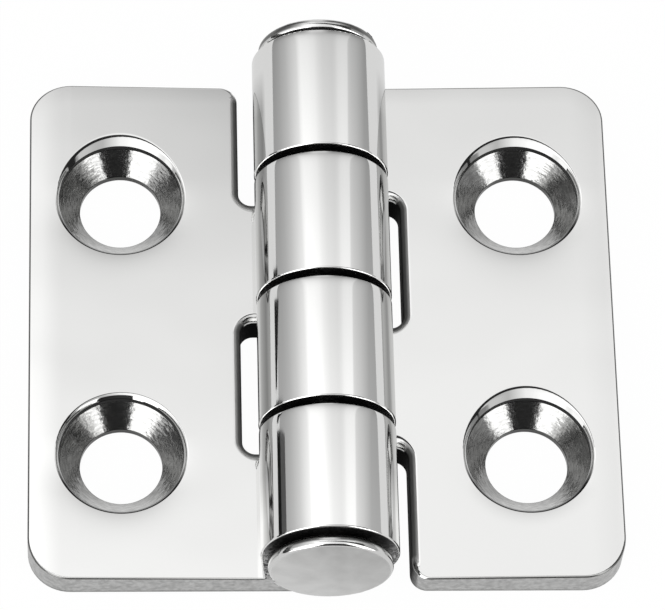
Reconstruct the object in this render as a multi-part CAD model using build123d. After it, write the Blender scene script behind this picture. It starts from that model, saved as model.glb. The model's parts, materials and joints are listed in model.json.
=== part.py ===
from build123d import *
import math
import os

# A polished stainless butt hinge: two equal cast leaves with interleaved knuckles on one pin,
# whose two ends are formed into low domed heads. The barrel stands raised above the leaves' fronts.
# Frame, in millimetres: X runs across the leaves, Y along the pin, Z up from the flat backs.
# The origin lies on the back plane, under the middle of the pin. The hinge is open flat.

# Leaf plates
leaf_length = 50.0
leaf_reach = 26.5            # pin axis to a leaf's outer edge
plate_thickness = 3.4
outer_corner_radius = 3.8
front_edge_radius = 0.5

# Barrel of knuckles, shared in turn by the two leaves and counted from the +Y end
knuckle_count = 4
knuckle_gap = 0.6            # between neighbouring knuckles
barrel_diameter = 12.2
barrel_lift = 1.3            # underside of the barrel above the back plane
knuckle_edge_chamfer = 0.2
web_lean = 5.0               # degrees that the web under a knuckle leans in below the barrel
foot_reach = 3.0             # pin axis to where the flat back ends under a knuckle

# Notches that let the other leaf's knuckles turn
notch_clearance = 1.3        # barrel to the notch's wall, across the leaf
slot_corner_radius = 1.2
notch_end_radius = 1.5       # where an end notch opens at the leaf's end

# Countersunk screw holes, two in line on each leaf
hole_row = 18.2              # pin axis to the line of holes
hole_pitch = 26.0            # between the two holes, along the pin
hole_diameter = 7.4
countersink_diameter = 11.2
countersink_angle = 90.0
recess_depth = 0.9           # straight wall above the cone, lip included
lip_chamfer = 0.4            # bevel round a recess's mouth

# Pin
pin_diameter = 6.0
pin_clearance = 0.05         # all round the pin in its bores
pin_end_play = 0.35          # between a head and the barrel's end
head_diameter = 11.0
head_side = 1.2              # thickness of a head at its rim
head_dome = 0.5              # rise of a head's middle above its rim
head_under_chamfer = 0.35

# Values worked out from the sizes above
barrel_radius = barrel_diameter / 2
pin_height = barrel_lift + barrel_radius
knuckle_length = (leaf_length - (knuckle_count - 1) * knuckle_gap) / knuckle_count
knuckle_step = knuckle_length + knuckle_gap
notch_wall = barrel_radius + notch_clearance
bore_radius = pin_diameter / 2 + pin_clearance

# Helpers of the construction
cutter_margin = 1.0          # how far a cutter runs past the face that it opens
same_place = 0.01            # points closer than this are the same point


def knuckle_middle(index):
    """Y of a knuckle's middle."""
    return leaf_length / 2 - knuckle_length / 2 - index * knuckle_step


def underside_touch():
    """Where the underside, sloping up from the end of the flat back, touches the barrel's circle."""
    away = math.atan2(-pin_height, foot_reach)
    spread = math.acos(barrel_radius / math.hypot(foot_reach, pin_height))
    angle = away - spread
    return (barrel_radius * math.cos(angle), pin_height + barrel_radius * math.sin(angle))


def knuckle(index):
    """One knuckle, with the web and foot that join it to a leaf on the +X side."""
    lean = math.radians(web_lean)
    web_top = (barrel_radius * math.cos(lean), pin_height - barrel_radius * math.sin(lean))
    web_foot = (web_top[0] - web_top[1] * math.tan(lean), 0)
    underside = underside_touch()
    barrel = ThreePointArc(underside, (-barrel_radius, pin_height), web_top)
    base = Polyline(web_top, web_foot, (foot_reach, 0), underside)
    solid = extrude(Plane.XZ * make_face(barrel + base), knuckle_length / 2, both=True)
    solid = chamfer(solid.faces().filter_by(Axis.Y).edges(), knuckle_edge_chamfer)
    return Pos(0, knuckle_middle(index), 0) * solid


def plate_outline(own):
    """Outline of a +X leaf's plate: a tab under each of its own knuckles, a notch at each of the others."""
    plate_width = leaf_reach - notch_wall
    outline = Pos(notch_wall + plate_width / 2, 0) * Rectangle(plate_width, leaf_length)
    tab_width = notch_wall - foot_reach
    for index in own:
        tab = Rectangle(tab_width, knuckle_length)
        outline += Pos(foot_reach + tab_width / 2, knuckle_middle(index)) * tab
    outline = fillet(outline.vertices().group_by(Axis.X)[-1], outer_corner_radius)

    def wall_corners(at_ends):
        on_wall = outline.vertices().filter_by(lambda v: abs(v.X - notch_wall) < same_place)
        return on_wall.filter_by(lambda v: (abs(v.Y) > leaf_length / 2 - same_place) == at_ends)

    outline = fillet(wall_corners(False), slot_corner_radius)
    return fillet(wall_corners(True), notch_end_radius)


def leaf_plate(own):
    """The flat plate of a +X leaf: ground flat behind, its front edges rounded up to the barrel."""
    plate = extrude(plate_outline(own), plate_thickness)
    front = plate.faces().sort_by(Axis.Z)[-1]
    rim = front.edges().filter_by(lambda e: e.center().X > foot_reach + same_place)
    return fillet(rim, front_edge_radius)


def screw_hole(x, y):
    """Cutter for one countersunk hole: clearance hole, cone, short straight recess and bevelled lip."""
    recess_radius = countersink_diameter / 2
    mouth_radius = recess_radius + lip_chamfer
    cone_depth = recess_radius / math.tan(math.radians(countersink_angle / 2))
    cone_top = plate_thickness - recess_depth
    above = plate_thickness + cutter_margin
    profile = Polyline(
        (0, above),
        (mouth_radius, above),
        (mouth_radius, plate_thickness),
        (recess_radius, plate_thickness - lip_chamfer),
        (recess_radius, cone_top),
        (0, cone_top - cone_depth),
        close=True,
    )
    sink = revolve(Plane.XZ * make_face(profile), Axis.Z)
    drill = Cylinder(hole_diameter / 2, plate_thickness + 2 * cutter_margin)
    return Pos(x, y, 0) * (sink + Pos(0, 0, plate_thickness / 2) * drill)


def leaf(own):
    """A +X leaf, one casting: plate, webs and the knuckles listed in own, bored for the pin."""
    body = leaf_plate(own)
    for index in own:
        body += knuckle(index)
    for y in (-hole_pitch / 2, hole_pitch / 2):
        body -= screw_hole(hole_row, y)
    bore = Cylinder(bore_radius, leaf_length + 2 * cutter_margin, rotation=(90, 0, 0))
    return body - Pos(0, 0, pin_height) * bore


def pin_head():
    """The head at the +Y end: a short turned disc, bevelled underneath, its top part of a large sphere."""
    under = leaf_length / 2 + pin_end_play
    head_radius = head_diameter / 2
    height = head_side + head_dome
    dome_radius = (head_radius**2 + head_dome**2) / (2 * head_dome)
    disc = Pos(0, under + height / 2, 0) * Cylinder(head_radius, height, rotation=(90, 0, 0))
    disc = chamfer(disc.edges().group_by(Axis.Y)[0], head_under_chamfer)
    return disc & Pos(0, under + height - dome_radius, 0) * Sphere(dome_radius)


def hinge_pin():
    """The pin's shaft and its two formed heads, one piece."""
    head = pin_head()
    shaft = Cylinder(pin_diameter / 2, leaf_length + 2 * pin_end_play, rotation=(90, 0, 0))
    return Pos(0, 0, pin_height) * (shaft + head + mirror(head, Plane.XZ))


# The right leaf has every other knuckle from the +Y end. The left leaf has the rest, and is made on
# the +X side as well, then turned half round, so its knuckles are counted there from the -Y end.
right_knuckles = range(0, knuckle_count, 2)
left_knuckles = [knuckle_count - 1 - index for index in range(1, knuckle_count, 2)]
parts = {
    "left_leaf": Rot(0, 0, 180) * leaf(left_knuckles),
    "right_leaf": leaf(right_knuckles),
    "hinge_pin": hinge_pin(),
}
os.makedirs("parts", exist_ok=True)
for name, solid in parts.items():
    export_step(solid, f"parts/{name}.step")
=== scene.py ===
import json
import math
from types import SimpleNamespace
import bpy
from mathutils import Matrix, Vector


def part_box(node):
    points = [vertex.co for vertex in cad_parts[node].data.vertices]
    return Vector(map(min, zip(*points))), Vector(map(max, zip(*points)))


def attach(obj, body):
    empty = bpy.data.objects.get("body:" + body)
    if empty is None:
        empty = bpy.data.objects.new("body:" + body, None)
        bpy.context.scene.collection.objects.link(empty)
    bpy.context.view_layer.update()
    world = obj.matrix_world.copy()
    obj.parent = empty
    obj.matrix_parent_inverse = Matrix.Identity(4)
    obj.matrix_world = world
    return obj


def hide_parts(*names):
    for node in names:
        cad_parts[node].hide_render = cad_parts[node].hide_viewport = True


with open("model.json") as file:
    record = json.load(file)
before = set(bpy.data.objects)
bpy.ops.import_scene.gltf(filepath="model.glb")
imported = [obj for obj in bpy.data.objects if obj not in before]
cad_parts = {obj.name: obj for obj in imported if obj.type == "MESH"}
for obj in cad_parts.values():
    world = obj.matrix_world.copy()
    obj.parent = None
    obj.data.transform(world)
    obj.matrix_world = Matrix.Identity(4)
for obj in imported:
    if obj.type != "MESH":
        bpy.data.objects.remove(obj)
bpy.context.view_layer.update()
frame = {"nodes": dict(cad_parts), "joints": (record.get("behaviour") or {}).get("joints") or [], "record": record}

MM = 0.001
SAME_PLACE = 0.02                        # points closer than this, in millimetres, count as one

# Sizes in millimetres: X runs across the leaves, Y along the pin away from the camera, Z up from the backs
swing, = frame["joints"]
screws, = [mount for mount in frame["record"]["mounts"] if mount["name"] == "right_leaf_screws"]
leaf_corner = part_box("right_leaf")[1] / MM

# Plates
LEAF_REACH = leaf_corner.x               # from the pin's axis to a leaf's outer edge
LEAF_HALF_LENGTH = leaf_corner.y
PLATE_THICKNESS = 3.4
FRONT_EDGE_RADIUS = 0.5
OUTER_CORNER_RADIUS = 3.8
OUTER_CORNER = Vector((LEAF_REACH - OUTER_CORNER_RADIUS, LEAF_HALF_LENGTH - OUTER_CORNER_RADIUS))

# Barrel, and the notches that let the other leaf's knuckles turn
PIN_HEIGHT = swing["pos_m"][2] / MM
BARREL_RADIUS = 6.1
KNUCKLE_COUNT = 4
KNUCKLE_GAP = 0.6
HALF_GAP = KNUCKLE_GAP / 2
KNUCKLE_STEP = (2 * LEAF_HALF_LENGTH + KNUCKLE_GAP) / KNUCKLE_COUNT
KNUCKLE_LENGTH = KNUCKLE_STEP - KNUCKLE_GAP
WEB_FOOT = 5.4                           # from the pin's axis, just inside where a plate joins its webs
NOTCH_CLEARANCE = 1.3
NOTCH_WALL = BARREL_RADIUS + NOTCH_CLEARANCE
SLOT_CORNER_RADIUS = 1.2
NOTCH_END_RADIUS = 1.5                   # where an end notch opens at the leaf's end
PAST_END = 40.0                          # an end notch has no wall on that side

# Screw holes. A ring is a radius and a height
HOLE_ROW = screws["pos_m"][0] / MM
HOLE_FROM_MIDDLE = screws["dims"]["spacing_y_mm"] / 2
HOLE_RADIUS = screws["dims"]["hole_r_mm"]
RECESS_RADIUS = 5.6
RECESS_DEPTH = 0.9                       # straight wall above the cone, lip included
LIP_CHAMFER = 0.4
HOLE_MOUTH_RADIUS = RECESS_RADIUS + LIP_CHAMFER
CONE_TOP = PLATE_THICKNESS - RECESS_DEPTH
CONE_FOOT = CONE_TOP - (RECESS_RADIUS - HOLE_RADIUS)
LIP_TOP_RING = (HOLE_MOUTH_RADIUS, PLATE_THICKNESS)
LIP_MIDDLE_RING = (HOLE_MOUTH_RADIUS - LIP_CHAMFER / 2, PLATE_THICKNESS - LIP_CHAMFER / 2)
LIP_FOOT_RING = (RECESS_RADIUS, PLATE_THICKNESS - LIP_CHAMFER)
CONE_RINGS = ((RECESS_RADIUS, CONE_TOP), (HOLE_RADIUS, CONE_FOOT))
HOLE_RINGS = (LIP_TOP_RING, LIP_FOOT_RING, *CONE_RINGS, (HOLE_RADIUS, 0.0))

# Heads of the pin
PIN_END_PLAY = 0.35
HEAD_RADIUS = 5.5
HEAD_SIDE = 1.2
HEAD_RIM = LEAF_HALF_LENGTH + PIN_END_PLAY + HEAD_SIDE      # from the middle of the pin
HEAD_MIDDLE = HEAD_RIM - 0.7             # about half-way along a head's side

# What finishing does to the shapes
EASED_SHARE = 0.4                        # of the front edge's radius, left along the outer edges
FAR_END_LEAN = (0.12, 0.4)               # of the plates' end walls, at the outer corners and by the barrel
NEAR_END_LEAN = (0.3, 0.45)
HOLE_LIPS_DRAWN = {                      # on the right, at the far end: how far its far lip is drawn out
    (False, True): 0.85, (True, True): 0.65, (False, False): 0.1, (True, False): 0.73}
NOTCHES = (                              # side, near wall, far wall, how far its far lip is drawn out
    (1, -HALF_GAP, KNUCKLE_STEP + HALF_GAP, 0.4), (1, -PAST_END, HALF_GAP - KNUCKLE_STEP, 0.7),
    (-1, -KNUCKLE_STEP - HALF_GAP, HALF_GAP, 0.3), (-1, KNUCKLE_STEP - HALF_GAP, PAST_END, 0.0))
SIDE_LIP_DRAWN = 0.3                     # of every notch
NEAR_LIP_DRAWN = 0.4
HEAD_THINNED = 0.1
HEAD_RIM_RADIUS = 0.35

# What buffing wears down: width and depth
END_WEAR = (2.0, 0.02)
SIDE_WEAR = (3.0, 0.18)
HOLE_WEAR = (1.1, 0.06)
KNUCKLE_WEAR = (0.3, 0.06)
RIM_WIDTH = 0.15                         # of the rougher line round a plate's front, painted darker as shade

# How far the plates are out of true
TWIST = 0.02                             # rise of the right one, for each millimetre towards the far end
DIP = 0.0008                             # drop of the left one, per squared millimetre past the next value
DIP_FROM = 5.0

# Which way a surface faces, as a part of its normal
WALL_LEVEL = 0.3                         # a wall faces up or down by less than this
BENT_LEVEL = 0.99                        # and so does a rounded edge, by less than these two
SLOPING_LEVEL = 0.995
END_FACING = 0.9
UNDERSIDE_FACING = -0.15

# How far parts reach, for their finishes
PLATE_SIDES_FROM = BARREL_RADIUS + 0.6   # these three from the pin's axis
KNUCKLE_ENDS_TO = BARREL_RADIUS + 1.6
NOTCH_LIPS_TO = NOTCH_WALL + 0.9
HOLE_LIPS_TO = HOLE_MOUTH_RADIUS + 1.0   # these five from the middle of a hole
HOLE_WALLS_TO = HOLE_MOUTH_RADIUS + 0.1
NEAR_LINE_TO = HOLE_MOUTH_RADIUS - 0.04
CORNER_LINE_TO = RECESS_RADIUS + 0.03
BORE_TO = HOLE_RADIUS + 0.04
PLATE_TOP_TO = PLATE_THICKNESS + 0.05
PLATE_ENDS_FROM = LEAF_HALF_LENGTH - 0.1

# Fades: where a finish begins and where it is full
FAR_END_FADE = (-8.0, 12.0)              # from the middle of a leaf, along Y
NEAR_WEAR_FADE = (2.0, -4.0)             # these five from the middle of a hole, along Y or X
NEAR_LINE_FADE = (-1.0, -3.0)
NEAR_CONE_FADE = (-2.8, -4.6)
FAR_LIP_FADE = (2.0, 3.5)
LEFT_LIP_FADE = (0.0, -1.6)
NOTCH_LIP_FADE = (0.4, 0.18)             # these two below a plate's front
NOTCH_EDGE_FADE = (0.1, 0.002)
NOTCH_END_FADE = (0.6, 1.3)              # from the end of a leaf, in radii of a notch's opening
FLANK_END_FADE = (2.5, 7.0)              # from the end of the barrel
NOTCH_TURN_FADE = (0.6, 0.98)            # these five by the way that a surface faces
NOTCH_DULL_AND_SHADE_FADE = (-0.05, 0.1)
FLANK_FADE = (0.83, 0.88)
HEAD_TOP_FADE = (0.90, 0.96)
HEAD_STRIP_SIDE_FADE = (0.15, 0.5)
HEAD_STRIP_FADE = (-0.15, 0.05)          # from the middle of a head's side

# Patterns that the tools leave: spacing and depth
HOLLOWS = (11.0, 0.06)                   # of buffing by hand, on the plates
GRAIN = (0.3, 0.0003)
RIPPLES = (1.3, 0.006)                   # of the wheel, round the barrel
TURNED_RINGS = (0.12, 0.002)
CHATTER = (0.5, 0.02)                    # of the countersink's cutter
SHAKE_MARKS = (0.16, 0.014)              # across the cone, from the same cutter
SHAKE_MARK_LENGTH = 0.7
CONE_MIDDLE_RADIUS = 4.6
PIN_GRIT = (0.15, 0.002)
WALL_MOTTLE = 0.5                        # these three change only the colour
SAW_STREAKS = 0.35
HEAD_CLOUDS = 2.0


def linear(code):
    """An sRGB hex colour as the linear RGBA that a shader takes."""
    channels = [int(code[i:i + 2], 16) / 255 for i in (1, 3, 5)]
    return [c / 12.92 if c <= 0.04045 else ((c + 0.055) / 1.055) ** 2.4 for c in channels] + [1.0]


def add(tree, kind, inputs=(), give=0, **settings):
    """Adds a node with its settings, fills its inputs with values or other outputs, and gives one output."""
    node = tree.nodes.new(kind)
    for name, value in settings.items():
        setattr(node, name, value)
    for key, value in dict(inputs).items():
        if isinstance(value, bpy.types.NodeSocket):
            tree.links.new(value, node.inputs[key])
        else:
            node.inputs[key].default_value = value
    return node.outputs[give] if len(node.outputs) else node


def new_material(name):
    material = bpy.data.materials.new(name)
    material.use_nodes = True
    material.node_tree.nodes.clear()
    return material, material.node_tree


# Finish of the leaves

def places_on_leaf(tree):
    """Where a point of a leaf lies, in millimetres, and which way it faces."""
    place = add(tree, "ShaderNodeTexCoord", give="Object")
    place = add(tree, "ShaderNodeVectorMath", {0: place, "Scale": 1 / MM}, operation="SCALE")
    folded = add(tree, "ShaderNodeVectorMath", {0: place}, operation="ABSOLUTE")
    facing = add(tree, "ShaderNodeTexCoord", give="Normal")
    either_way = add(tree, "ShaderNodeVectorMath", {0: facing}, operation="ABSOLUTE")
    at = SimpleNamespace(place=place)
    at.x, at.y, at.z = [add(tree, "ShaderNodeSeparateXYZ", {0: place}, give=axis) for axis in "XYZ"]
    at.from_pin, at.from_middle = [
        add(tree, "ShaderNodeSeparateXYZ", {0: folded}, give=axis) for axis in "XY"]
    at.faces_far, at.faces_up = [add(tree, "ShaderNodeSeparateXYZ", {0: facing}, give=axis) for axis in "YZ"]
    at.sideways, at.endways, at.level = [
        add(tree, "ShaderNodeSeparateXYZ", {0: either_way}, give=axis) for axis in "XYZ"]
    at.on_right = add(tree, "ShaderNodeMath", {0: at.x, 1: 0.0}, operation="GREATER_THAN")
    at.on_plate = add(tree, "ShaderNodeMath", {0: at.z, 1: PLATE_TOP_TO}, operation="LESS_THAN")
    at.on_left, at.on_barrel = [
        add(tree, "ShaderNodeMath", {0: 1.0, 1: other}, operation="SUBTRACT")
        for other in (at.on_right, at.on_plate)]
    at.above_back = add(tree, "ShaderNodeMath", {0: at.z, 1: SAME_PLACE}, operation="GREATER_THAN")
    at.past_corner = past_corner(tree, at)

    # From the middle of the nearest screw hole, outwards over the leaf and as the axes run
    hole = (HOLE_ROW, HOLE_FROM_MIDDLE, 0)
    outwards = add(tree, "ShaderNodeVectorMath", {0: folded, 1: hole}, operation="SUBTRACT")
    outwards = add(tree, "ShaderNodeVectorMath", {0: outwards, 1: (1, 1, 0)}, operation="MULTIPLY")
    at.hole_radius = add(tree, "ShaderNodeVectorMath", {0: outwards}, give="Value", operation="LENGTH")
    at.hole_side, at.hole_end = [
        add(tree, "ShaderNodeSeparateXYZ", {0: outwards}, give=axis) for axis in "XY"]
    at.side, at.end = [add(tree, "ShaderNodeMath", {0: way}, operation="SIGN") for way in (at.x, at.y)]
    at.hole_x = add(tree, "ShaderNodeMath", {0: at.side, 1: -HOLE_ROW, 2: at.x}, operation="MULTIPLY_ADD")
    at.hole_y = add(tree, "ShaderNodeMath", {
        0: at.end, 1: -HOLE_FROM_MIDDLE, 2: at.y}, operation="MULTIPLY_ADD")
    return at


def past_corner(tree, at):
    """How far a point lies past the middle of its plate's outer corner, with the leaning ends set upright."""
    far_lean, near_lean = [
        add(tree, "ShaderNodeMapRange", {
            "Value": at.from_pin, "From Min": OUTER_CORNER.x, "From Max": NOTCH_WALL,
            "To Min": way * outer, "To Max": way * inner})
        for way, (outer, inner) in ((1, FAR_END_LEAN), (-1, NEAR_END_LEAN))]
    far_half = add(tree, "ShaderNodeMath", {0: at.y, 1: 0.0}, operation="GREATER_THAN")
    lean = add(tree, "ShaderNodeMix", {0: far_half, 2: near_lean, 3: far_lean}, data_type="FLOAT")
    leaning = add(tree, "ShaderNodeMapRange", {
        "Value": at.from_middle, "From Min": OUTER_CORNER.y, "From Max": LEAF_HALF_LENGTH})
    upright = add(tree, "ShaderNodeMath", {0: lean, 1: leaning, 2: at.from_middle}, operation="MULTIPLY_ADD")
    past = add(tree, "ShaderNodeCombineXYZ", {0: at.from_pin, 1: upright})
    past = add(tree, "ShaderNodeVectorMath", {0: past, 1: (*OUTER_CORNER, 0)}, operation="SUBTRACT")
    past = add(tree, "ShaderNodeVectorMath", {0: past, 1: (0, 0, 0)}, operation="MAXIMUM")
    return add(tree, "ShaderNodeVectorMath", {0: past}, give="Value", operation="LENGTH")


def buffed_plate(tree, at):
    """Height in millimetres of a plate's front, which buffing by hand leaves a little uneven."""
    # Worn down towards the far end and along the long sides
    end_wear = add(tree, "ShaderNodeMapRange", {
        "Value": at.past_corner, "From Min": OUTER_CORNER_RADIUS - END_WEAR[0],
        "From Max": OUTER_CORNER_RADIUS})
    end_wear = add(tree, "ShaderNodeMath", {0: end_wear, 1: 2.0}, operation="POWER")
    far_end = add(tree, "ShaderNodeMapRange", {
        "Value": at.y, "From Min": FAR_END_FADE[0], "From Max": FAR_END_FADE[1]},
        interpolation_type="SMOOTHSTEP")
    end_wear = add(tree, "ShaderNodeMath", {0: end_wear, 1: far_end}, operation="MULTIPLY")
    side_wear = add(tree, "ShaderNodeMapRange", {
        "Value": at.from_pin, "From Min": LEAF_REACH - SIDE_WEAR[0], "From Max": LEAF_REACH})
    side_wear = add(tree, "ShaderNodeMath", {0: side_wear, 1: 2.0}, operation="POWER")

    # Worn down on the near sides of the screw holes
    hole_wear = add(tree, "ShaderNodeMath", {0: at.hole_radius, 1: HOLE_MOUTH_RADIUS}, operation="MAXIMUM")
    hole_wear = add(tree, "ShaderNodeMath", {
        0: hole_wear, 1: -1 / HOLE_WEAR[0], 2: HOLE_MOUTH_RADIUS / HOLE_WEAR[0]}, operation="MULTIPLY_ADD")
    hole_wear = add(tree, "ShaderNodeMath", {0: hole_wear}, operation="EXPONENT")
    near_side = add(tree, "ShaderNodeMapRange", {
        "Value": at.hole_y, "From Min": NEAR_WEAR_FADE[1], "From Max": NEAR_WEAR_FADE[0],
        "To Min": 1.0, "To Max": 0.0},
        interpolation_type="SMOOTHSTEP")
    hole_wear = add(tree, "ShaderNodeMath", {0: hole_wear, 1: near_side}, operation="MULTIPLY")

    # The right leaf is a touch out of true, and the left one dips towards its far corner by the barrel
    twist = add(tree, "ShaderNodeMath", {0: at.y, 1: at.on_right}, operation="MULTIPLY")
    dip = add(tree, "ShaderNodeMath", {0: at.y, 1: DIP_FROM}, operation="SUBTRACT")
    dip = add(tree, "ShaderNodeMath", {0: dip, 1: 0.0}, operation="MAXIMUM")
    by_barrel = add(tree, "ShaderNodeMapRange", {
        "Value": at.x, "From Min": -OUTER_CORNER.x, "From Max": -NOTCH_WALL})
    for share in (dip, by_barrel, at.on_left):
        dip = add(tree, "ShaderNodeMath", {0: dip, 1: share}, operation="MULTIPLY")

    hollows = add(tree, "ShaderNodeTexNoise", {"Vector": at.place, "Scale": 1 / HOLLOWS[0], "Detail": 1.0})
    grain = add(tree, "ShaderNodeTexNoise", {"Vector": at.place, "Scale": 1 / GRAIN[0], "Detail": 2.0})
    height = 0.0
    for part, depth in (
            (end_wear, -END_WEAR[1]), (hole_wear, -HOLE_WEAR[1]), (side_wear, -SIDE_WEAR[1]),
            (hollows, HOLLOWS[1]), (twist, TWIST), (dip, -DIP), (grain, GRAIN[1])):
        height = add(tree, "ShaderNodeMath", {0: part, 1: depth, 2: height}, operation="MULTIPLY_ADD")
    return height


def buffed_barrel(tree, at):
    """Height of the barrel: worn at the far ends of its knuckles, and rippled lengthwise by the wheel."""
    wear = add(tree, "ShaderNodeMath", {0: at.y, 1: LEAF_HALF_LENGTH}, operation="ADD")
    wear = add(tree, "ShaderNodeMath", {0: wear, 1: KNUCKLE_STEP}, operation="MODULO")
    wear = add(tree, "ShaderNodeMath", {
        0: wear, 1: 1 / KNUCKLE_WEAR[0], 2: -KNUCKLE_LENGTH / KNUCKLE_WEAR[0]}, operation="MULTIPLY_ADD")
    wear = add(tree, "ShaderNodeMath", {0: wear}, operation="EXPONENT")
    lengthwise = add(tree, "ShaderNodeVectorMath", {0: at.place, 1: (1, 0.05, 1)}, operation="MULTIPLY")
    ripples = add(tree, "ShaderNodeTexNoise", {"Vector": lengthwise, "Scale": 1 / RIPPLES[0], "Detail": 1.0})
    height = 0.0
    for part, depth in ((wear, -KNUCKLE_WEAR[1]), (ripples, RIPPLES[1])):
        height = add(tree, "ShaderNodeMath", {0: part, 1: depth, 2: height}, operation="MULTIPLY_ADD")
    return height


def turned_cone(tree, at):
    """Height of a turned countersink, and the short marks round its cone where the cutter shook."""
    rings = add(tree, "ShaderNodeTexNoise", {
        "W": at.hole_radius, "Scale": 1 / TURNED_RINGS[0], "Detail": 2.0}, noise_dimensions="1D")
    chatter = add(tree, "ShaderNodeTexNoise", {"Vector": at.place, "Scale": 1 / CHATTER[0], "Detail": 3.0})
    arc = add(tree, "ShaderNodeMath", {0: at.hole_end, 1: at.hole_side}, operation="ARCTAN2")
    arc = add(tree, "ShaderNodeMath", {
        0: arc, 1: CONE_MIDDLE_RADIUS / SHAKE_MARK_LENGTH}, operation="MULTIPLY")
    across = add(tree, "ShaderNodeMath", {0: at.hole_radius, 1: 1 / SHAKE_MARKS[0]}, operation="MULTIPLY")
    # Each hole has marks of its own
    which_hole = add(tree, "ShaderNodeMath", {0: at.on_right, 1: 7.0, 2: at.end}, operation="MULTIPLY_ADD")
    marks = add(tree, "ShaderNodeCombineXYZ", {0: across, 1: arc, 2: which_hole})
    marks = add(tree, "ShaderNodeTexNoise", {"Vector": marks, "Scale": 1.0, "Detail": 2.0})
    height = 0.0
    for part, depth in ((rings, TURNED_RINGS[1]), (chatter, CHATTER[1]), (marks, SHAKE_MARKS[1])):
        height = add(tree, "ShaderNodeMath", {0: part, 1: depth, 2: height}, operation="MULTIPLY_ADD")
    return height, marks


def hole_parts(tree, at):
    """Shares of the turned surface, the line of painted shade round its top and the left part of the far lip,
    painted darker as shade.
    """
    turned = add(tree, "ShaderNodeMath", {
        0: at.hole_radius, 1: RECESS_RADIUS - SAME_PLACE}, operation="LESS_THAN")
    turned = add(tree, "ShaderNodeMath", {0: turned, 1: at.above_back}, operation="MULTIPLY")
    # The dark line is painted shade, on the recess's wall and on the near part of the lip
    line, near_lip = [add(tree, "ShaderNodeMath", {0: at.hole_radius, 1: edge}, operation="LESS_THAN")
                      for edge in (CORNER_LINE_TO, NEAR_LINE_TO)]
    line, near_lip = [add(tree, "ShaderNodeMath", {0: part, 1: turned}, operation="SUBTRACT", use_clamp=True)
                      for part in (line, near_lip)]
    near_arc = add(tree, "ShaderNodeMapRange", {
        "Value": at.hole_y, "From Min": NEAR_LINE_FADE[0], "From Max": NEAR_LINE_FADE[1]})
    near_lip = add(tree, "ShaderNodeMath", {0: near_lip, 1: near_arc}, operation="MULTIPLY")
    line = add(tree, "ShaderNodeMath", {0: line, 1: near_lip}, operation="MAXIMUM")
    line = add(tree, "ShaderNodeMath", {0: line, 1: at.above_back}, operation="MULTIPLY")

    # The left part of the far lip is painted darker as shade
    left_lip_shade = add(tree, "ShaderNodeMapRange", {
        "Value": at.hole_x, "From Min": LEFT_LIP_FADE[0], "From Max": LEFT_LIP_FADE[1]})
    far_arc = add(tree, "ShaderNodeMapRange", {
        "Value": at.hole_y, "From Min": FAR_LIP_FADE[0], "From Max": FAR_LIP_FADE[1]})
    by_hole = add(tree, "ShaderNodeMath", {0: at.hole_radius, 1: HOLE_LIPS_TO}, operation="LESS_THAN")
    sloping = add(tree, "ShaderNodeMath", {0: at.level, 1: SLOPING_LEVEL}, operation="LESS_THAN")
    for share in (far_arc, by_hole, sloping):
        left_lip_shade = add(tree, "ShaderNodeMath", {0: left_lip_shade, 1: share}, operation="MULTIPLY")
    return turned, line, left_lip_shade


def plate_ends(tree, at):
    """Share of the plates' end walls, leaning ones too."""
    end_face = add(tree, "ShaderNodeMath", {0: at.endways, 1: END_FACING}, operation="GREATER_THAN")
    outer_end = add(tree, "ShaderNodeMath", {
        0: end_face, 1: FAR_END_LEAN[1], 2: at.from_middle}, operation="MULTIPLY_ADD")
    outer_end = add(tree, "ShaderNodeMath", {0: outer_end, 1: PLATE_ENDS_FROM}, operation="GREATER_THAN")
    return add(tree, "ShaderNodeMath", {0: outer_end, 1: at.on_plate}, operation="MULTIPLY")


def side_walls(tree, at, outer_end):
    """Share of the plates' outer walls, which are left satin."""
    wall = add(tree, "ShaderNodeMath", {0: at.level, 1: WALL_LEVEL}, operation="LESS_THAN")
    beside = add(tree, "ShaderNodeMath", {0: at.from_pin, 1: PLATE_SIDES_FROM}, operation="GREATER_THAN")
    plate_side = add(tree, "ShaderNodeMath", {0: beside, 1: outer_end}, operation="MAXIMUM")
    wall = add(tree, "ShaderNodeMath", {0: wall, 1: plate_side}, operation="MULTIPLY")
    in_hole = add(tree, "ShaderNodeMath", {0: at.hole_radius, 1: HOLE_WALLS_TO}, operation="LESS_THAN")
    return add(tree, "ShaderNodeMath", {0: wall, 1: in_hole}, operation="SUBTRACT", use_clamp=True)


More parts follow.
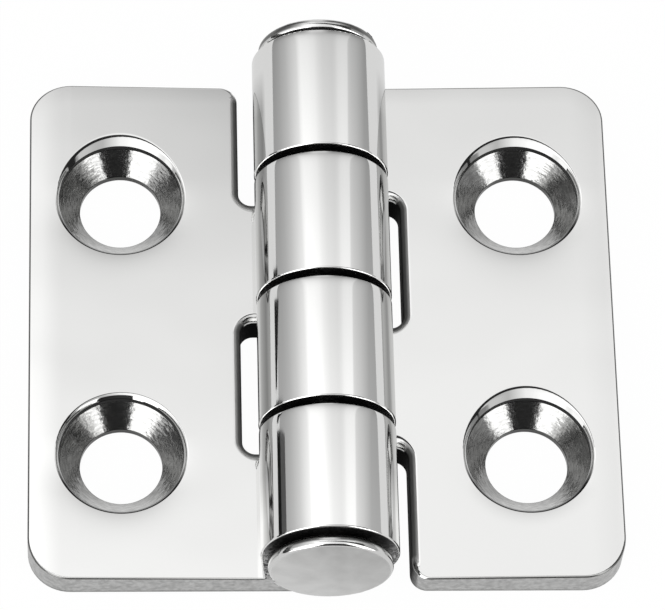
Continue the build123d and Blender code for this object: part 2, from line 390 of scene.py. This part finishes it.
def notch_walls(tree, at, outer_end):
    """Share of the notches' walls and lips, which are dull and buffed at their far ends only; their colour is
    painted shade.
    """
    wall = add(tree, "ShaderNodeMath", {0: at.from_pin, 1: NOTCH_LIPS_TO}, operation="LESS_THAN")
    bent = add(tree, "ShaderNodeMath", {0: at.level, 1: BENT_LEVEL}, operation="LESS_THAN")
    for share in (bent, at.on_plate):
        wall = add(tree, "ShaderNodeMath", {0: wall, 1: share}, operation="MULTIPLY")
    wall = add(tree, "ShaderNodeMath", {0: wall, 1: outer_end}, operation="SUBTRACT", use_clamp=True)

    unbuffed_and_shaded = add(tree, "ShaderNodeMath", {0: at.sideways, 1: at.faces_far}, operation="ADD")
    unbuffed_and_shaded = add(tree, "ShaderNodeMapRange", {
        "Value": unbuffed_and_shaded, "From Min": NOTCH_DULL_AND_SHADE_FADE[0], "From Max": NOTCH_DULL_AND_SHADE_FADE[1]})
    below_lip = add(tree, "ShaderNodeMath", {
        0: at.z, 1: PLATE_THICKNESS - FRONT_EDGE_RADIUS}, operation="LESS_THAN")
    unbuffed_and_shaded = add(tree, "ShaderNodeMath", {0: unbuffed_and_shaded, 1: below_lip}, operation="MAXIMUM")

    # The wall of an end notch fades into the satin one round its outer corner
    inland = add(tree, "ShaderNodeMapRange", {
        "Value": at.from_middle, "From Min": LEAF_HALF_LENGTH - NOTCH_END_FADE[0] * NOTCH_END_RADIUS,
        "From Max": LEAF_HALF_LENGTH - NOTCH_END_FADE[1] * NOTCH_END_RADIUS})
    turning = add(tree, "ShaderNodeMapRange", {
        "Value": at.sideways, "From Min": NOTCH_TURN_FADE[0], "From Max": NOTCH_TURN_FADE[1]})
    turning = add(tree, "ShaderNodeMath", {0: turning, 1: inland}, operation="MAXIMUM")
    for share in (unbuffed_and_shaded, turning):
        wall = add(tree, "ShaderNodeMath", {0: wall, 1: share}, operation="MULTIPLY")
    return wall


def barrel_parts(tree, at):
    """Shares of the knuckles' sawn ends, dull and painted dark as shade, and of the barrel's flanks, painted
    darker as shade.
    """
    # Sawn knuckle ends: rougher, and painted dark as shade
    sawn_end = add(tree, "ShaderNodeMath", {0: at.endways, 1: END_FACING}, operation="GREATER_THAN")
    inside = add(tree, "ShaderNodeMath", {0: at.from_pin, 1: KNUCKLE_ENDS_TO}, operation="LESS_THAN")
    for share in (inside, at.on_barrel):
        sawn_end = add(tree, "ShaderNodeMath", {0: sawn_end, 1: share}, operation="MULTIPLY")
    # The barrel's flanks are painted darker as shade
    flank_shade = add(tree, "ShaderNodeMapRange", {
        "Value": at.sideways, "From Min": FLANK_FADE[0], "From Max": FLANK_FADE[1]})
    inland = add(tree, "ShaderNodeMapRange", {
        "Value": at.from_middle, "From Min": LEAF_HALF_LENGTH - FLANK_END_FADE[0],
        "From Max": LEAF_HALF_LENGTH - FLANK_END_FADE[1]})
    for share in (inland, at.on_barrel):
        flank_shade = add(tree, "ShaderNodeMath", {0: flank_shade, 1: share}, operation="MULTIPLY")
    return sawn_end, flank_shade


def cone_colour(tree, at, marks):
    """Grey turned steel, painted lighter on its near side as light, worn in marks, with the straight bore below
    painted dark as shade.
    """
    # The near side of the cone is painted lighter, as light
    near_cone_light = add(tree, "ShaderNodeMapRange", {
        "Value": at.hole_y, "From Min": NEAR_CONE_FADE[0], "From Max": NEAR_CONE_FADE[1]})
    cone = add(tree, "ShaderNodeMix", {
        0: near_cone_light, 6: linear("#A4A4A3"), 7: linear("#D2D2D1")}, give=2, data_type="RGBA")
    worn = add(tree, "ShaderNodeMapRange", {
        "Value": marks, "From Min": 0.35, "From Max": 0.65, "To Min": 0.8, "To Max": 1.12})
    cone = add(tree, "ShaderNodeVectorMath", {0: cone, "Scale": worn}, operation="SCALE")
    # The straight bore is painted dark as shade
    bore = add(tree, "ShaderNodeMath", {0: at.hole_radius, 1: BORE_TO}, operation="LESS_THAN")
    return add(tree, "ShaderNodeMix", {0: bore, 6: cone, 7: linear("#4A4A49")}, give=2, data_type="RGBA")


def satin_wall_colour(tree, at):
    """Mottled grey, painted darker along the foot as shade."""
    mottle = add(tree, "ShaderNodeTexNoise", {"Vector": at.place, "Scale": 1 / WALL_MOTTLE, "Detail": 5.0})
    mottle = add(tree, "ShaderNodeMapRange", {"Value": mottle, "From Min": 0.3, "From Max": 0.7})
    satin = add(tree, "ShaderNodeMix", {
        0: mottle, 6: linear("#9C9C9B"), 7: linear("#C8C8C7")}, give=2, data_type="RGBA")
    # Painted shade along the foot of the wall
    foot = add(tree, "ShaderNodeMapRange", {
        "Value": at.z, "From Min": 0.1, "From Max": 0.5, "To Min": 0.55, "To Max": 1.0})
    return add(tree, "ShaderNodeVectorMath", {0: satin, "Scale": foot}, operation="SCALE")


def notch_shade_colour(tree, at):
    """Painted shade: black down in a notch, grey on its lip, and as pale as the plate where the lip ends."""
    lip, fading = [
        add(tree, "ShaderNodeMapRange", {
            "Value": at.z, "From Min": PLATE_THICKNESS - foot, "From Max": PLATE_THICKNESS - top})
        for foot, top in (NOTCH_LIP_FADE, NOTCH_EDGE_FADE)]
    colour = linear("#080808")
    for share, tone in ((lip, "#848483"), (fading, "#DCDCDB")):
        colour = add(tree, "ShaderNodeMix", {0: share, 6: colour, 7: linear(tone)}, give=2, data_type="RGBA")
    return colour


def sawn_shade_colour(tree, at):
    """Dark as painted shade between the knuckles, with pale streaks that thin out towards the top of the barrel.
    """
    streaks = add(tree, "ShaderNodeTexNoise", {
        "Vector": at.place, "Scale": 1 / SAW_STREAKS, "Detail": 3.0, "Distortion": 1.5})
    streaks = add(tree, "ShaderNodeMapRange", {"Value": streaks, "From Min": 0.42, "From Max": 0.66})
    low_down = add(tree, "ShaderNodeMapRange", {
        "Value": at.z, "From Min": PIN_HEIGHT + 3.0, "From Max": PIN_HEIGHT - 0.5,
        "To Min": 0.12, "To Max": 1.0})
    streaks = add(tree, "ShaderNodeMath", {0: streaks, 1: low_down}, operation="MULTIPLY")
    return add(tree, "ShaderNodeMix", {
        0: streaks, 6: linear("#383838"), 7: linear("#D0D0CF")}, give=2, data_type="RGBA")


def mirror_polished_stainless():
    """Cast stainless, buffed to a mirror on its front and barrel."""
    # To the eye: a pale, sharp mirror with slow hollows and worn edges. Turned holes and the satin walls are
    # darker and duller, sawn knuckle ends and notches duller. Shade is painted into the colour: dark on the sawn
    # ends, in the notches, bores and hole corners, darker on the undersides, flanks, rims, the left of the far
    # lips and along the walls' foot; painted light makes the near sides of the cones paler
    material, tree = new_material("mirror_polished_stainless")
    at = places_on_leaf(tree)
    turned, line, left_lip_shade = hole_parts(tree, at)
    outer_end = plate_ends(tree, at)
    wall = side_walls(tree, at, outer_end)
    # Notch walls and lips: dull, and painted dark as shade
    notch = notch_walls(tree, at, outer_end)
    sawn_end, flank_shade = barrel_parts(tree, at)
    # Undersides: rougher, and painted darker as shade
    dull_shaded_underside = add(tree, "ShaderNodeMath", {0: at.faces_up, 1: UNDERSIDE_FACING}, operation="LESS_THAN")
    # The rim round a plate's front: rougher, and painted darker as shade
    rim = add(tree, "ShaderNodeMath", {
        0: at.past_corner, 1: OUTER_CORNER_RADIUS - RIM_WIDTH}, operation="GREATER_THAN")
    rim = add(tree, "ShaderNodeMath", {0: rim, 1: at.on_plate}, operation="MULTIPLY")
    rim = add(tree, "ShaderNodeMath", {0: rim, 1: wall}, operation="SUBTRACT", use_clamp=True)

    cone_height, marks = turned_cone(tree, at)
    height = buffed_plate(tree, at)
    for share, part in ((at.on_barrel, buffed_barrel(tree, at)), (turned, cone_height)):
        height = add(tree, "ShaderNodeMix", {0: share, 2: height, 3: part}, data_type="FLOAT")
    bump = add(tree, "ShaderNodeBump", {"Strength": 1.0, "Distance": MM, "Height": height})

    colour = linear("#E4E4E3")
    for share, tone in (
            (at.on_barrel, linear("#E8E8E7")), (left_lip_shade, linear("#B0B0AF")),
            (turned, cone_colour(tree, at, marks)), (wall, satin_wall_colour(tree, at)),
            (dull_shaded_underside, linear("#7A7A79")), (notch, notch_shade_colour(tree, at)), (line, linear("#303030")),
            (sawn_end, sawn_shade_colour(tree, at)), (flank_shade, linear("#A8A8A7")), (rim, linear("#7E7E7D"))):
        colour = add(tree, "ShaderNodeMix", {0: share, 6: colour, 7: tone}, give=2, data_type="RGBA")
    roughness = 0.05
    for share, value in (
            (turned, 0.14), (rim, 0.25), (wall, 0.3), (dull_shaded_underside, 0.35), (notch, 0.9), (sawn_end, 0.4)):
        roughness = add(tree, "ShaderNodeMix", {0: share, 2: roughness, 3: value}, data_type="FLOAT")

    shader = add(tree, "ShaderNodeBsdfPrincipled", {
        "Base Color": colour, "Metallic": 1.0, "Roughness": roughness, "Normal": bump})
    add(tree, "ShaderNodeOutputMaterial", {"Surface": shader})
    return material


# Finish of the pin

def satin_stainless():
    """Turned stainless pin: heads polished round their sides and left satin on top."""
    # To the eye: softly clouded grey tops with painted light to the left and below, and bright sides with a duller
    # strip of painted shade to the left and right
    material, tree = new_material("satin_stainless")
    place = add(tree, "ShaderNodeTexCoord", give="Object")
    place = add(tree, "ShaderNodeVectorMath", {0: place, "Scale": 1 / MM}, operation="SCALE")
    x, y, z = [add(tree, "ShaderNodeSeparateXYZ", {0: place}, give=axis) for axis in "XYZ"]
    facing = add(tree, "ShaderNodeTexCoord", give="Normal")
    facing = add(tree, "ShaderNodeVectorMath", {0: facing}, operation="ABSOLUTE")
    sideways, endways = [add(tree, "ShaderNodeSeparateXYZ", {0: facing}, give=axis) for axis in "XY"]

    # Tops, with painted light: paler to the left and below
    top = add(tree, "ShaderNodeMapRange", {
        "Value": endways, "From Min": HEAD_TOP_FADE[0], "From Max": HEAD_TOP_FADE[1]})
    cloud_and_light = add(tree, "ShaderNodeTexNoise", {"Vector": place, "Scale": 1 / HEAD_CLOUDS, "Detail": 4.0})
    left = add(tree, "ShaderNodeMapRange", {
        "Value": x, "From Min": 1.0, "From Max": -HEAD_RADIUS, "To Min": 0.0, "To Max": 0.5})
    low = add(tree, "ShaderNodeMapRange", {
        "Value": z, "From Min": PIN_HEIGHT + 5.0, "From Max": PIN_HEIGHT - 5.0,
        "To Min": -0.25, "To Max": 0.3})
    cloud_and_light = add(tree, "ShaderNodeMath", {0: cloud_and_light, 1: left}, operation="ADD")
    cloud_and_light = add(tree, "ShaderNodeMath", {0: cloud_and_light, 1: low}, operation="ADD", use_clamp=True)
    top_colour = add(tree, "ShaderNodeMix", {
        0: cloud_and_light, 6: linear("#B0B0AF"), 7: linear("#DADAD9")}, give=2, data_type="RGBA")

    # Sides, with a rougher strip on their far halves, painted dark as shade
    end = add(tree, "ShaderNodeMath", {0: y}, operation="SIGN")
    strip = add(tree, "ShaderNodeMath", {0: end, 1: -HEAD_MIDDLE, 2: y}, operation="MULTIPLY_ADD")
    strip = add(tree, "ShaderNodeMapRange", {
        "Value": strip, "From Min": HEAD_STRIP_FADE[0], "From Max": HEAD_STRIP_FADE[1]})
    beside = add(tree, "ShaderNodeMapRange", {
        "Value": sideways, "From Min": HEAD_STRIP_SIDE_FADE[0], "From Max": HEAD_STRIP_SIDE_FADE[1]})
    strip = add(tree, "ShaderNodeMath", {0: strip, 1: beside}, operation="MULTIPLY")

    colour = linear("#DADAD9")
    for share, tone in ((strip, linear("#747473")), (top, top_colour)):
        colour = add(tree, "ShaderNodeMix", {0: share, 6: colour, 7: tone}, give=2, data_type="RGBA")
    roughness = 0.1
    for share, value in ((strip, 0.22), (top, 0.34)):
        roughness = add(tree, "ShaderNodeMix", {0: share, 2: roughness, 3: value}, data_type="FLOAT")
    grit = add(tree, "ShaderNodeTexNoise", {"Vector": place, "Scale": 1 / PIN_GRIT[0], "Detail": 2.0})
    bump = add(tree, "ShaderNodeBump", {"Strength": 1.0, "Distance": PIN_GRIT[1] * MM, "Height": grit})
    shader = add(tree, "ShaderNodeBsdfPrincipled", {
        "Base Color": colour, "Metallic": 1.0, "Roughness": roughness, "Normal": bump})
    add(tree, "ShaderNodeOutputMaterial", {"Surface": shader})
    return material


# Pieces

def from_hole(point):
    """A point's place from the middle of its quarter's screw hole, and that hole's place, in millimetres."""
    hole = Vector((math.copysign(HOLE_ROW, point.x), math.copysign(HOLE_FROM_MIDDLE, point.y)))
    return Vector((point.x, point.y)) / MM - hole, hole


def select_edges(piece, wanted):
    """Selects only the edges whose pair of ends passes a test, and goes to edit mode."""
    bpy.ops.object.mode_set(mode="EDIT")
    bpy.ops.mesh.select_mode(type="EDGE")
    bpy.ops.mesh.select_all(action="DESELECT")
    bpy.ops.object.mode_set(mode="OBJECT")
    for edge in piece.data.edges:
        edge.select = wanted([piece.data.vertices[index].co for index in edge.vertices])
    bpy.ops.object.mode_set(mode="EDIT")


def on_ring(point, ring):
    radius, height = ring
    away, hole = from_hole(point)
    return abs(away.length - radius) < SAME_PLACE and abs(point.z / MM - height) < SAME_PLACE


def along_ring(ends, rings):
    return any(all(on_ring(point, ring) for point in ends) for ring in rings)


def down_lip(ends):
    return all(any(on_ring(point, ring) for point in ends) for ring in (LIP_TOP_RING, LIP_FOOT_RING))


def cut_hole_rings_finer(piece):
    """More points round each ring of the holes and half-way down their lips, so that these curve evenly."""
    cut_depth = 0.2                      # more than a point cut into a side of the ring lies inside it
    select_edges(piece, lambda ends: along_ring(ends, HOLE_RINGS))
    bpy.ops.mesh.subdivide(number_cuts=3)
    bpy.ops.object.mode_set(mode="OBJECT")
    for vertex in piece.data.vertices:
        away, hole = from_hole(vertex.co)
        for radius, height in HOLE_RINGS:
            if abs(vertex.co.z / MM - height) < SAME_PLACE and 0 < radius - away.length < cut_depth:
                vertex.co.xy = (hole + away.normalized() * radius) * MM
    select_edges(piece, down_lip)
    bpy.ops.mesh.subdivide(number_cuts=1)
    bpy.ops.object.mode_set(mode="OBJECT")


def draw_out_far_lips(piece):
    """Buffing along the leaves has drawn out the far lips of the holes, one of them least."""
    for vertex in piece.data.vertices:
        away, hole = from_hole(vertex.co)
        drawn = HOLE_LIPS_DRAWN[hole.x > 0, hole.y > 0] * MM
        for ring, share in ((LIP_TOP_RING, 1.0), (LIP_MIDDLE_RING, 0.5)):
            if away.y > 0 and on_ring(vertex.co, ring):
                vertex.co.y += drawn * share * (away.y / ring[0]) ** 2
                break


def on_front_edge(point):
    """Whether a point is on a plate, no further below its front than the rounded edge goes."""
    return -SAME_PLACE < PLATE_THICKNESS - point.z < FRONT_EDGE_RADIUS + SAME_PLACE


def ease_outer_edges(piece):
    """The leaves' outer front edges are only broken, and grow rounder where they turn into an end notch."""
    notch_corner = Vector((NOTCH_WALL + NOTCH_END_RADIUS, LEAF_HALF_LENGTH - NOTCH_END_RADIUS))
    for vertex in piece.data.vertices:
        point = vertex.co / MM
        spot = Vector((abs(point.x), abs(point.y)))
        by_notch = (point.x < 0) == (point.y > 0) and spot.x < notch_corner.x - SAME_PLACE
        if by_notch:
            outward, radius = spot - notch_corner, NOTCH_END_RADIUS
        else:
            outward, radius = spot - OUTER_CORNER, OUTER_CORNER_RADIUS
            outward.x = max(outward.x, 0)
        outward.y = max(outward.y, 0)
        inset = radius - outward.length
        if outward.length == 0 or inset > FRONT_EDGE_RADIUS + SAME_PLACE or not on_front_edge(point):
            continue
        kept = EASED_SHARE
        if by_notch:
            turned = math.atan2(-outward.x, outward.y) / (math.pi / 2)
            kept += (1 - EASED_SHARE) * turned
        outward = outward.normalized() * inset * (1 - kept) * MM
        vertex.co.x += math.copysign(outward.x, outward.x * point.x)
        vertex.co.y += math.copysign(outward.y, outward.y * point.y)
        vertex.co.z += (PLATE_THICKNESS - point.z) * (1 - kept) * MM


def draw_out_notch_lips(piece):
    """Buffing has drawn out the lips of the notches too."""
    lip_reach = 0.6                      # past a notch's wall, a little more than the rounded edge
    straight_x = NOTCH_WALL - SLOT_CORNER_RADIUS
    for vertex in piece.data.vertices:
        point = vertex.co / MM
        for side, near_wall, far_wall, far_drawn in NOTCHES:
            in_notch = near_wall - lip_reach < point.y < far_wall + lip_reach and point.x * side > 0
            if not in_notch or not on_front_edge(point):
                continue
            straight_y = min(max(point.y, near_wall + SLOT_CORNER_RADIUS), far_wall - SLOT_CORNER_RADIUS)
            away = Vector((max(abs(point.x) - straight_x, 0), point.y - straight_y))
            rolled = (away.length - SLOT_CORNER_RADIUS) / FRONT_EDGE_RADIUS
            if not -SAME_PLACE < rolled < 1 + SAME_PLACE:
                continue
            fading = min((LEAF_HALF_LENGTH - abs(point.y)) / NOTCH_END_RADIUS, 1)
            drawn = far_drawn if away.y > 0 else -NEAR_LIP_DRAWN
            vertex.co.x += side * SIDE_LIP_DRAWN * rolled * (away.x / away.length) ** 2 * fading * MM
            vertex.co.y += drawn * rolled * (away.y / away.length) ** 2 * MM


def lean_end_walls(piece):
    """The plates' end walls lean towards the near end at the top, more so by the barrel."""
    for vertex in piece.data.vertices:
        point = vertex.co / MM
        on_plate = abs(point.x) > WEB_FOOT and point.z < PLATE_THICKNESS + SAME_PLACE
        if abs(point.y) < OUTER_CORNER.y or not on_plate:
            continue
        by_barrel = min(max((OUTER_CORNER.x - abs(point.x)) / (OUTER_CORNER.x - NOTCH_WALL), 0), 1)
        along = (abs(point.y) - OUTER_CORNER.y) / OUTER_CORNER_RADIUS
        outer, inner = FAR_END_LEAN if point.y > 0 else NEAR_END_LEAN
        vertex.co.y -= (outer + (inner - outer) * by_barrel) * along * point.z / PLATE_THICKNESS * MM


def shape_leaf(piece):
    cut_hole_rings_finer(piece)
    draw_out_far_lips(piece)
    ease_outer_edges(piece)
    draw_out_notch_lips(piece)
    lean_end_walls(piece)


def round_head_rims(piece):
    """The heads are spun a little thinner, and the rim between a head's side and its top is rounded."""
    def on_rim(point):
        radius = math.hypot(point.x, point.z - PIN_HEIGHT * MM) / MM
        from_rim = abs(point.y) / MM - HEAD_RIM + HEAD_THINNED
        return abs(radius - HEAD_RADIUS) < SAME_PLACE and abs(from_rim) < SAME_PLACE

    bpy.ops.object.mode_set(mode="EDIT")
    bpy.ops.mesh.select_all(action="SELECT")
    bpy.ops.mesh.remove_doubles(threshold=0.05 * MM)
    bpy.ops.object.mode_set(mode="OBJECT")
    for vertex in piece.data.vertices:
        if abs(vertex.co.y) > (HEAD_RIM - SAME_PLACE) * MM:
            vertex.co.y -= math.copysign(HEAD_THINNED * MM, vertex.co.y)
    select_edges(piece, lambda ends: all(on_rim(point) for point in ends))
    bpy.ops.mesh.bevel(offset=HEAD_RIM_RADIUS * MM, segments=6, affect="EDGES", clamp_overlap=False)
    bpy.ops.object.mode_set(mode="OBJECT")


def keep_countersinks_crisp(piece):
    """The cone of a countersink meets its recess and its hole at crisp edges."""
    select_edges(piece, lambda ends: along_ring(ends, CONE_RINGS))
    bpy.ops.mesh.mark_sharp()
    bpy.ops.object.mode_set(mode="OBJECT")


def finished_copy(node, body, finish, shaping, crisp=None):
    """A copy of a CAD node, joined up and shaded so that its bevels read as rounded edges."""
    piece = bpy.data.objects.new(node + "_finished", frame["nodes"][node].data.copy())
    bpy.context.scene.collection.objects.link(piece)
    bpy.ops.object.select_all(action="DESELECT")
    piece.select_set(True)
    bpy.context.view_layer.objects.active = piece
    bpy.ops.object.mode_set(mode="EDIT")
    bpy.ops.mesh.customdata_custom_splitnormals_clear()
    bpy.ops.mesh.select_all(action="SELECT")
    bpy.ops.mesh.remove_doubles(threshold=0.002 * MM)
    bpy.ops.mesh.dissolve_limited(angle_limit=math.radians(0.1))
    bpy.ops.object.mode_set(mode="OBJECT")
    shaping(piece)
    bpy.ops.object.shade_smooth_by_angle(angle=math.radians(50))
    if crisp:
        crisp(piece)
    flow = piece.modifiers.new("even_normals", "WEIGHTED_NORMAL")
    flow.mode = "FACE_AREA"
    flow.weight = 50
    flow.keep_sharp = True
    bpy.ops.object.modifier_apply(modifier=flow.name)
    piece.data.materials.clear()
    piece.data.materials.append(finish)
    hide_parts(node)
    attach(piece, body)


leaf_finish = mirror_polished_stainless()
pin_finish = satin_stainless()
for leaf, leaf_body in (("left_leaf", "fixed_leaf"), ("right_leaf", "swinging_leaf")):
    finished_copy(leaf, leaf_body, leaf_finish, shape_leaf, keep_countersinks_crisp)
finished_copy("hinge_pin", "fixed_leaf", pin_finish, round_head_rims)


# Floor and cards

def white_floor():
    """White paper, matt: white to the camera, a little greyer in the metal, with the object's soft shadow."""
    bpy.ops.object.select_all(action="DESELECT")
    bpy.ops.mesh.primitive_plane_add(size=4.0, location=(0, 0, -0.2 * MM))
    floor = bpy.context.object
    floor.name = "floor"
    material, tree = new_material("white_paper")
    seen = add(tree, "ShaderNodeLightPath", give="Is Camera Ray")
    mirrored = add(tree, "ShaderNodeLightPath", give="Is Glossy Ray")
    share = add(tree, "ShaderNodeMath", {0: mirrored, 1: 0.65}, operation="MULTIPLY")
    share = add(tree, "ShaderNodeMath", {0: seen, 1: 0.95, 2: share}, operation="MULTIPLY_ADD")
    paper = add(tree, "ShaderNodeBsdfDiffuse", {"Color": linear("#AAAAAA")})
    glow = add(tree, "ShaderNodeEmission", {"Color": (1, 1, 1, 1), "Strength": 1.03})
    mix = add(tree, "ShaderNodeMixShader", {0: share, 1: paper, 2: glow})
    add(tree, "ShaderNodeOutputMaterial", {"Surface": mix})
    floor.data.materials.append(material)


CARD_X = -100
CARDS = (                                # name, near end, far end, foot, top at each end, colour
    ("black_card", -80, 34, 0, (13, 13), "#242424"),
    ("grey_card", -80, 34, 13, (34, 30), "#707070"),
    ("small_black_card", 36, 50.5, 0, (6, 17), "#303030"))


def dark_card(name, near, far, foot, tops, paper_colour):
    """A card of matt paper on edge to the left, out of view, that darkens one side of the barrel."""
    bpy.ops.object.select_all(action="DESELECT")
    bpy.ops.mesh.primitive_plane_add(size=1.0)
    card = bpy.context.object
    card.name = name
    corners = ((near, foot), (far, foot), (near, tops[0]), (far, tops[1]))
    for vertex, corner in zip(card.data.vertices, corners):
        vertex.co = Vector((CARD_X, *corner)) * MM
    card.visible_camera = False
    card.visible_diffuse = False
    material, tree = new_material(name + "_paper")
    paper = add(tree, "ShaderNodeBsdfDiffuse", {"Color": linear(paper_colour)})
    add(tree, "ShaderNodeOutputMaterial", {"Surface": paper})
    card.data.materials.append(material)


white_floor()
for card_sizes in CARDS:
    dark_card(*card_sizes)


# Studio light, drawn round the object in the world. A stop is an angle in degrees to the right, and a level

DARK = 0.04
HALF_TURN_DRAWN = 100                    # degrees to each side
OVERHEAD = (                             # across the hinge: a bright strip, a box with a crisp end, walls
    (-95, 0.36), (-85, 0.385), (-75, 0.44), (-60, 0.58), (-50, 0.73), (-40, 0.87), (-36, 1.04), (-32, 1.13),
    (-20, 1.10), (-10, 1.03), (-3, 0.91), (5, 0.82), (20, 0.765), (25, 0.80), (31, 0.90), (38, 0.93),
    (47, 0.92), (49.5, 0.70), (55, 0.63), (65, 0.55), (82, 0.38), (95, 0.36))
CAMERA_SIDE = (                          # dark behind the camera, a soft box at each side, then walls
    (-92, 0.36), (-86, 1.2), (-60, 1.3), (-57, 3.2), (-18, 3.2), (-15.5, DARK), (32, DARK),
    (34.5, 3.0), (62, 3.0), (66, 0.5), (92, 0.36))


def drawn_light(tree, angle, stops):
    """Light whose level follows an angle by its stops."""
    angle = add(tree, "ShaderNodeMapRange", {
        "Value": angle, "From Min": math.radians(-HALF_TURN_DRAWN),
        "From Max": math.radians(HALF_TURN_DRAWN)})
    light = add(tree, "ShaderNodeValToRGB", {"Fac": angle})
    elements = light.node.color_ramp.elements
    elements.remove(elements[-1])
    for index, (degrees, level) in enumerate(stops):
        position = (degrees + HALF_TURN_DRAWN) / (2 * HALF_TURN_DRAWN)
        stop = elements.new(position) if index else elements[0]
        stop.position = position
        stop.color = (level, level, level, 1)
    return light


def dark_frame(tree, angle, y, z):
    """Share of the dark frame at the near edge of the overhead light, broader to the right."""
    near_edge = add(tree, "ShaderNodeMapRange", {
        "Value": y, "From Min": 0.325, "From Max": 0.345, "To Min": 1.0, "To Max": 0.0})
    slant = add(tree, "ShaderNodeMath", {0: angle, 1: 0.35, 2: y}, operation="MULTIPLY_ADD")
    far_edge = add(tree, "ShaderNodeMapRange", {"Value": slant, "From Min": 0.14, "From Max": 0.16})
    high = add(tree, "ShaderNodeMath", {0: z, 1: 0.5}, operation="GREATER_THAN")
    bar = add(tree, "ShaderNodeMath", {0: near_edge, 1: far_edge}, operation="MULTIPLY")
    return add(tree, "ShaderNodeMath", {0: bar, 1: high}, operation="MULTIPLY")


def studio():
    """Plain soft light: strips along the hinge overhead, a back wall, and soft boxes on the camera's side."""
    world = bpy.data.worlds.new("studio")
    bpy.context.scene.world = world
    world.use_nodes = True
    tree = world.node_tree
    tree.nodes.clear()
    way = add(tree, "ShaderNodeTexCoord", give="Generated")
    x, y, z = [add(tree, "ShaderNodeSeparateXYZ", {0: way}, give=axis) for axis in "XYZ"]

    # Overhead, the strips draw together a little towards the camera, and fade towards the back wall
    across = add(tree, "ShaderNodeMath", {0: x, 1: z}, operation="ARCTAN2")
    spread = add(tree, "ShaderNodeMath", {0: y, 1: -1.9, 2: 1.95}, operation="MULTIPLY_ADD")
    spread = add(tree, "ShaderNodeClamp", {"Value": spread, "Min": 0.8, "Max": 1.2})
    spread = add(tree, "ShaderNodeMath", {0: across, 1: spread}, operation="MULTIPLY")
    fade = add(tree, "ShaderNodeMapRange", {
        "Value": y, "From Min": 0.41, "From Max": 0.60, "To Min": 1.35, "To Max": 0.64})
    level = add(tree, "ShaderNodeMath", {
        0: drawn_light(tree, spread, OVERHEAD), 1: fade}, operation="MULTIPLY")

    # The back wall is lit in the middle and dark in the corners
    back = add(tree, "ShaderNodeMapRange", {"Value": y, "From Min": 0.58, "From Max": 0.75})
    back_level = add(tree, "ShaderNodeMath", {0: x, 1: 0.06}, operation="ADD")
    back_level = add(tree, "ShaderNodeMath", {0: back_level}, operation="ABSOLUTE")
    back_level = add(tree, "ShaderNodeMapRange", {
        "Value": back_level, "From Min": 0.12, "From Max": 0.30, "To Min": 0.85, "To Max": 0.14})

    # The camera's side reaches up to the strips
    towards_camera = add(tree, "ShaderNodeMath", {0: y, 1: -1.0}, operation="MULTIPLY")
    turn = add(tree, "ShaderNodeMath", {0: x, 1: towards_camera}, operation="ARCTAN2")
    facing = add(tree, "ShaderNodeMath", {0: y, 1: -0.04}, operation="LESS_THAN")
    low = add(tree, "ShaderNodeMapRange", {
        "Value": z, "From Min": 0.70, "From Max": 0.76, "To Min": 1.0, "To Max": 0.0})
    front = add(tree, "ShaderNodeMath", {0: facing, 1: low}, operation="MULTIPLY")

    for share, part in (
            (back, back_level), (front, drawn_light(tree, turn, CAMERA_SIDE)),
            (dark_frame(tree, across, y, z), DARK)):
        level = add(tree, "ShaderNodeMix", {0: share, 2: level, 3: part}, data_type="FLOAT")
    light = add(tree, "ShaderNodeBackground", {"Color": (1, 1, 1, 1), "Strength": level})
    add(tree, "ShaderNodeOutputWorld", {"Surface": light})


studio()


# Camera

CAMERA_PLACE = (-20.9, -202.77, 392.42)
CAMERA_TURNS = (("Y", -3.218), ("X", 27.71), ("Z", -1.516))     # degrees
SENSOR_WIDTH = 36.0
LENS = 262.9


def camera():
    data = bpy.data.cameras.new("camera")
    data.sensor_width = SENSOR_WIDTH
    data.lens = LENS
    data.clip_start = 0.01
    data.clip_end = 20.0
    obj = bpy.data.objects.new("camera", data)
    bpy.context.scene.collection.objects.link(obj)
    stand = Matrix.Translation(Vector(CAMERA_PLACE) * MM)
    for axis, degrees in CAMERA_TURNS:
        stand = stand @ Matrix.Rotation(math.radians(degrees), 4, axis)
    obj.matrix_world = stand
    bpy.context.scene.camera = obj


camera()
bpy.context.scene.view_settings.view_transform = "Standard"
